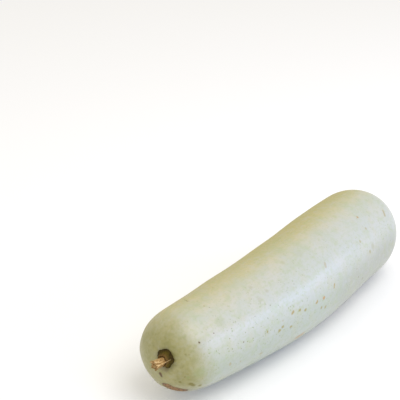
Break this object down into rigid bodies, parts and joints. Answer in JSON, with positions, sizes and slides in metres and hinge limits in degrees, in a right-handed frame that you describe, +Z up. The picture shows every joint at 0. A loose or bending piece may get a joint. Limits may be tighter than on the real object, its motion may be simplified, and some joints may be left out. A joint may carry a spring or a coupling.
{
  "type": "bottle gourd",
  "caption": "Whole pale green bottle gourd lying on its side: a long, slightly bowed fruit with a slim shoulder, and the broken stub of its stem.",
  "frame": {"origin": "on the surface the gourd lies on, under the middle of its box", "axes": "+X along the fruit from the stem end to the blossom end, +Y towards the hollow side of its bow, +Z up"},
  "size_m": [0.4146, 0.1068, 0.1022],
  "materials": {
    "rind": "waxy satin rind, pale green to cream, olive towards the stem, with fine flecks",
    "stem": "dry and fibrous, olive collar, tan torn end"
  },
  "bodies": {
    "root": {"gourd_fruit": "rind", "stem_stub": "stem"}
  },
  "joints": []
}
